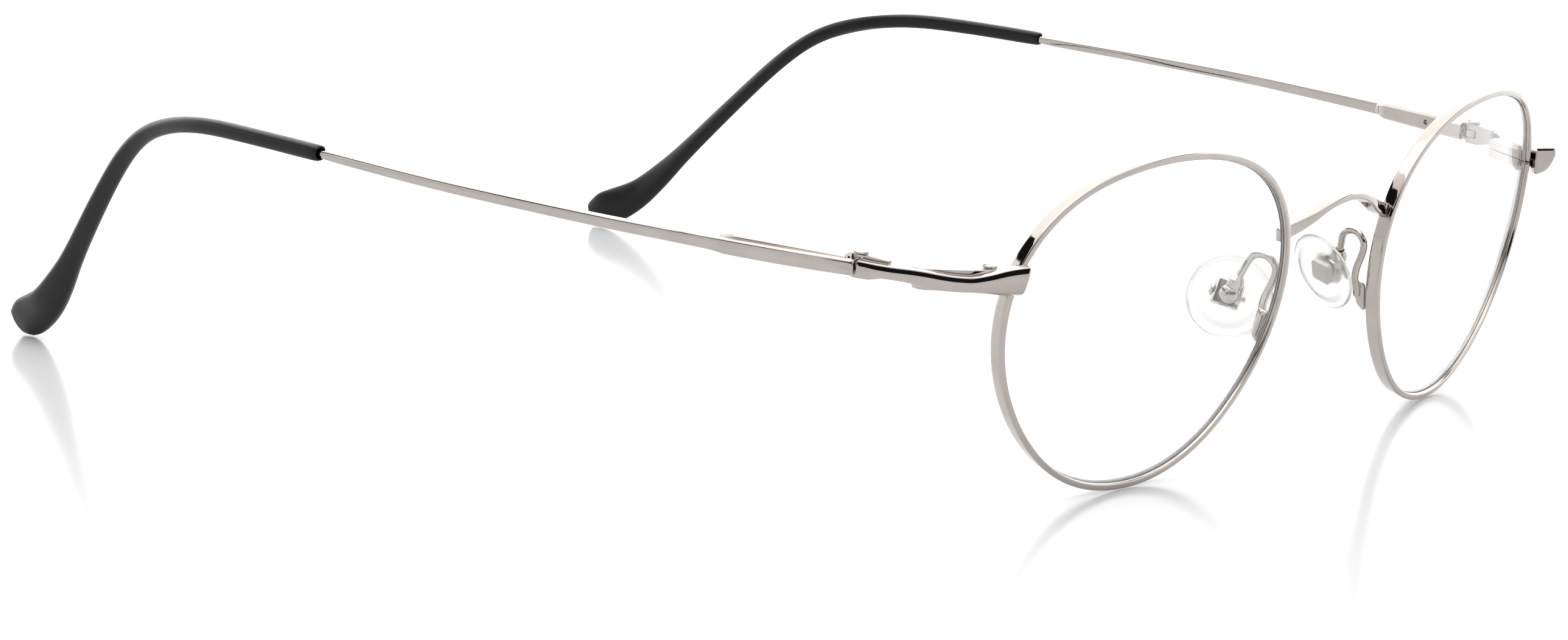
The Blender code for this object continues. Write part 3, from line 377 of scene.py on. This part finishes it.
# ---- stage -------------------------------------------------------------------
BRIGHT_SIDE = (125, 30)          # azimuth and elevation of the brightest part of the tent
DIM_LEVEL = 0.95
BRIGHT_LEVEL = 2.0
DIM_FROM = -0.1                  # cosine of the angle from the bright side where the tent is dimmest
BRIGHT_FROM = 0.9                # and where it is brightest
LOW_TINT = (0.97, 0.985, 1.0)
HIGH_TINT = (1.0, 0.975, 0.95)
HIGH_TINT_FROM = 0.85            # sine of the elevation
FLOOR_HALF_SIZE = 6.0
MIDDLE = Vector((0, 0, 0.02))    # what the cards face


def bearing(azimuth, elevation, distance):
    """A point seen from the middle of the object: azimuth 0 is in front, 90 on the +X side."""
    a, e = math.radians(azimuth), math.radians(elevation)
    return Vector((math.sin(a) * math.cos(e), -math.cos(a) * math.cos(e), math.sin(e))) * distance


def area_light(name, place, aim, size, power, colour):
    data = bpy.data.lights.new(name, "AREA")
    data.shape = "RECTANGLE"
    data.size, data.size_y = size
    data.energy = power
    data.color = colour
    lamp = bpy.data.objects.new(name, data)
    lamp.location = place
    lamp.rotation_euler = (Vector(aim) - Vector(place)).to_track_quat("-Z", "Y").to_euler()
    bpy.context.scene.collection.objects.link(lamp)


def card(name, place, size, look):
    """A flat card outside the picture, turned to the object, that the metal reflects."""
    mesh = bpy.data.meshes.new(name)
    w, h = size[0] / 2, size[1] / 2
    mesh.from_pydata([(-w, -h, 0), (w, -h, 0), (w, h, 0), (-w, h, 0)], [], [(0, 1, 2, 3)])
    mesh.materials.append(look)
    made = bpy.data.objects.new(name, mesh)
    made.location = place
    made.rotation_euler = (MIDDLE - place).to_track_quat("-Z", "Y").to_euler()
    made.visible_camera = False
    made.visible_diffuse = False
    made.visible_shadow = False
    bpy.context.scene.collection.objects.link(made)


def card_black():
    """Matt black, for the cards of the studio only."""
    made, _, shader = new_material("black_card_look")
    shader.inputs["Base Color"].default_value = (0.01, 0.01, 0.01, 1)
    shader.inputs["Roughness"].default_value = 0.9
    shader.inputs["Specular IOR Level"].default_value = 0.0
    return made


def make_floor():
    """A white table top with a faint, soft reflection."""
    made, _, shader = new_material("floor_look")
    shader.inputs["Base Color"].default_value = (0.64, 0.65, 0.67, 1)
    shader.inputs["Roughness"].default_value = 0.16
    shader.inputs["Specular IOR Level"].default_value = 0.30
    size = FLOOR_HALF_SIZE
    mesh = bpy.data.meshes.new("floor")
    mesh.from_pydata([(-size, -size, 0), (size, -size, 0), (size, size, 0), (-size, size, 0)], [],
                     [(0, 1, 2, 3)])
    mesh.materials.append(made)
    floor = bpy.data.objects.new("floor", mesh)
    bpy.context.scene.collection.objects.link(floor)


def make_world():
    """A white tent, lit from behind: the side that faces the camera across the object is the brightest."""
    world = bpy.data.worlds.new("studio")
    bpy.context.scene.world = world
    world.use_nodes = True
    tree = world.node_tree
    place = tree.nodes.new("ShaderNodeTexCoord")
    parts = tree.nodes.new("ShaderNodeSeparateXYZ")
    ramp = tree.nodes.new("ShaderNodeValToRGB")
    tree.links.new(place.outputs["Generated"], parts.inputs["Vector"])
    tree.links.new(parts.outputs["Z"], ramp.inputs["Fac"])
    ramp.color_ramp.elements[0].position = 0.0
    ramp.color_ramp.elements[0].color = (*LOW_TINT, 1)
    ramp.color_ramp.elements[1].position = HIGH_TINT_FROM
    ramp.color_ramp.elements[1].color = (*HIGH_TINT, 1)
    tree.links.new(ramp.outputs["Color"], tree.nodes["Background"].inputs["Color"])
    facing = tree.nodes.new("ShaderNodeVectorMath")
    facing.operation = "DOT_PRODUCT"
    facing.inputs[1].default_value = bearing(*BRIGHT_SIDE, 1.0)
    level = tree.nodes.new("ShaderNodeMapRange")
    level.interpolation_type = "SMOOTHSTEP"
    level.inputs["From Min"].default_value = DIM_FROM
    level.inputs["From Max"].default_value = BRIGHT_FROM
    level.inputs["To Min"].default_value = DIM_LEVEL
    level.inputs["To Max"].default_value = BRIGHT_LEVEL
    tree.links.new(place.outputs["Generated"], facing.inputs[0])
    tree.links.new(facing.outputs["Value"], level.inputs["Value"])
    tree.links.new(level.outputs["Result"], tree.nodes["Background"].inputs["Strength"])


# camera: place in metres, then its right, up and back directions
CAMERA_PLACE = (-0.49735, -0.33517, 0.11677)
CAMERA_RIGHT = (0.56693, -0.82273, 0.04133)
CAMERA_UP = (0.12872, 0.13803, 0.98203)
CAMERA_BACK = (-0.81365, -0.55142, 0.18416)
CAMERA_LENS = 117.41             # mm, on a sensor 36 mm wide
CAMERA_SENSOR = 36.0


def make_camera():
    data = bpy.data.cameras.new("camera")
    data.lens = CAMERA_LENS
    data.sensor_width = CAMERA_SENSOR
    data.clip_start = 0.01
    data.clip_end = 50.0
    camera = bpy.data.objects.new("camera", data)
    turn = Matrix((CAMERA_RIGHT, CAMERA_UP, CAMERA_BACK)).transposed()
    camera.matrix_world = Matrix.Translation(CAMERA_PLACE) @ turn.to_4x4()
    bpy.context.scene.collection.objects.link(camera)
    bpy.context.scene.camera = camera


# ---- build -------------------------------------------------------------------
make_camera()
make_floor()
make_world()
bpy.context.scene.view_settings.view_transform = "Standard"

for side in SIDES:
    subdivided(f"rim_{side}", 30, 0.45)
    make_lens(side)
    subdivided(f"end_piece_{side}", 30, 0.5)
    subdivided(f"temple_{side}", 30, 0.4)
    subdivided(f"temple_tip_{side}", 60, 0.3)
    make_pad(side)
    subdivided(f"pad_arm_{side}", 60, 0.3)
    for part in ("closing_block_lower", "closing_block_upper", "hinge_front", "spring_housing", "pad_box"):
        bevelled(f"{part}_{side}", BLOCK_ROUNDING, 3)
    for part in ("closing_screw", "hinge_screw", "slider", "rod_nut", "bushing", "pad_screw", "pad_insert"):
        bevelled(f"{part}_{side}", SCREW_ROUNDING, 2)
subdivided("bridge", 30, 0.6)
# the coil springs stay as they are in the CAD, with a better material
for node, piece in frame["nodes"].items():
    if not piece.hide_render:
        piece.data.materials.clear()
        piece.data.materials.append(LOOKS[SLOT_OF[node]])

black = card_black()
# the dark room behind the camera, and two dark gaps between the tent and the softbox
card("dark_behind_camera", bearing(-55, 27, 1.6), (2.4, 0.62), black)
card("dark_gap_left", bearing(-141, 41, 1.4), (1.5, 0.34), black)
card("dark_gap_right", bearing(60, 38, 1.4), (1.0, 0.20), black)
area_light("softbox", (-0.15, 0.10, 1.3), (0, 0, 0), (1.3, 1.0), 5.0, (1.0, 0.985, 0.96))
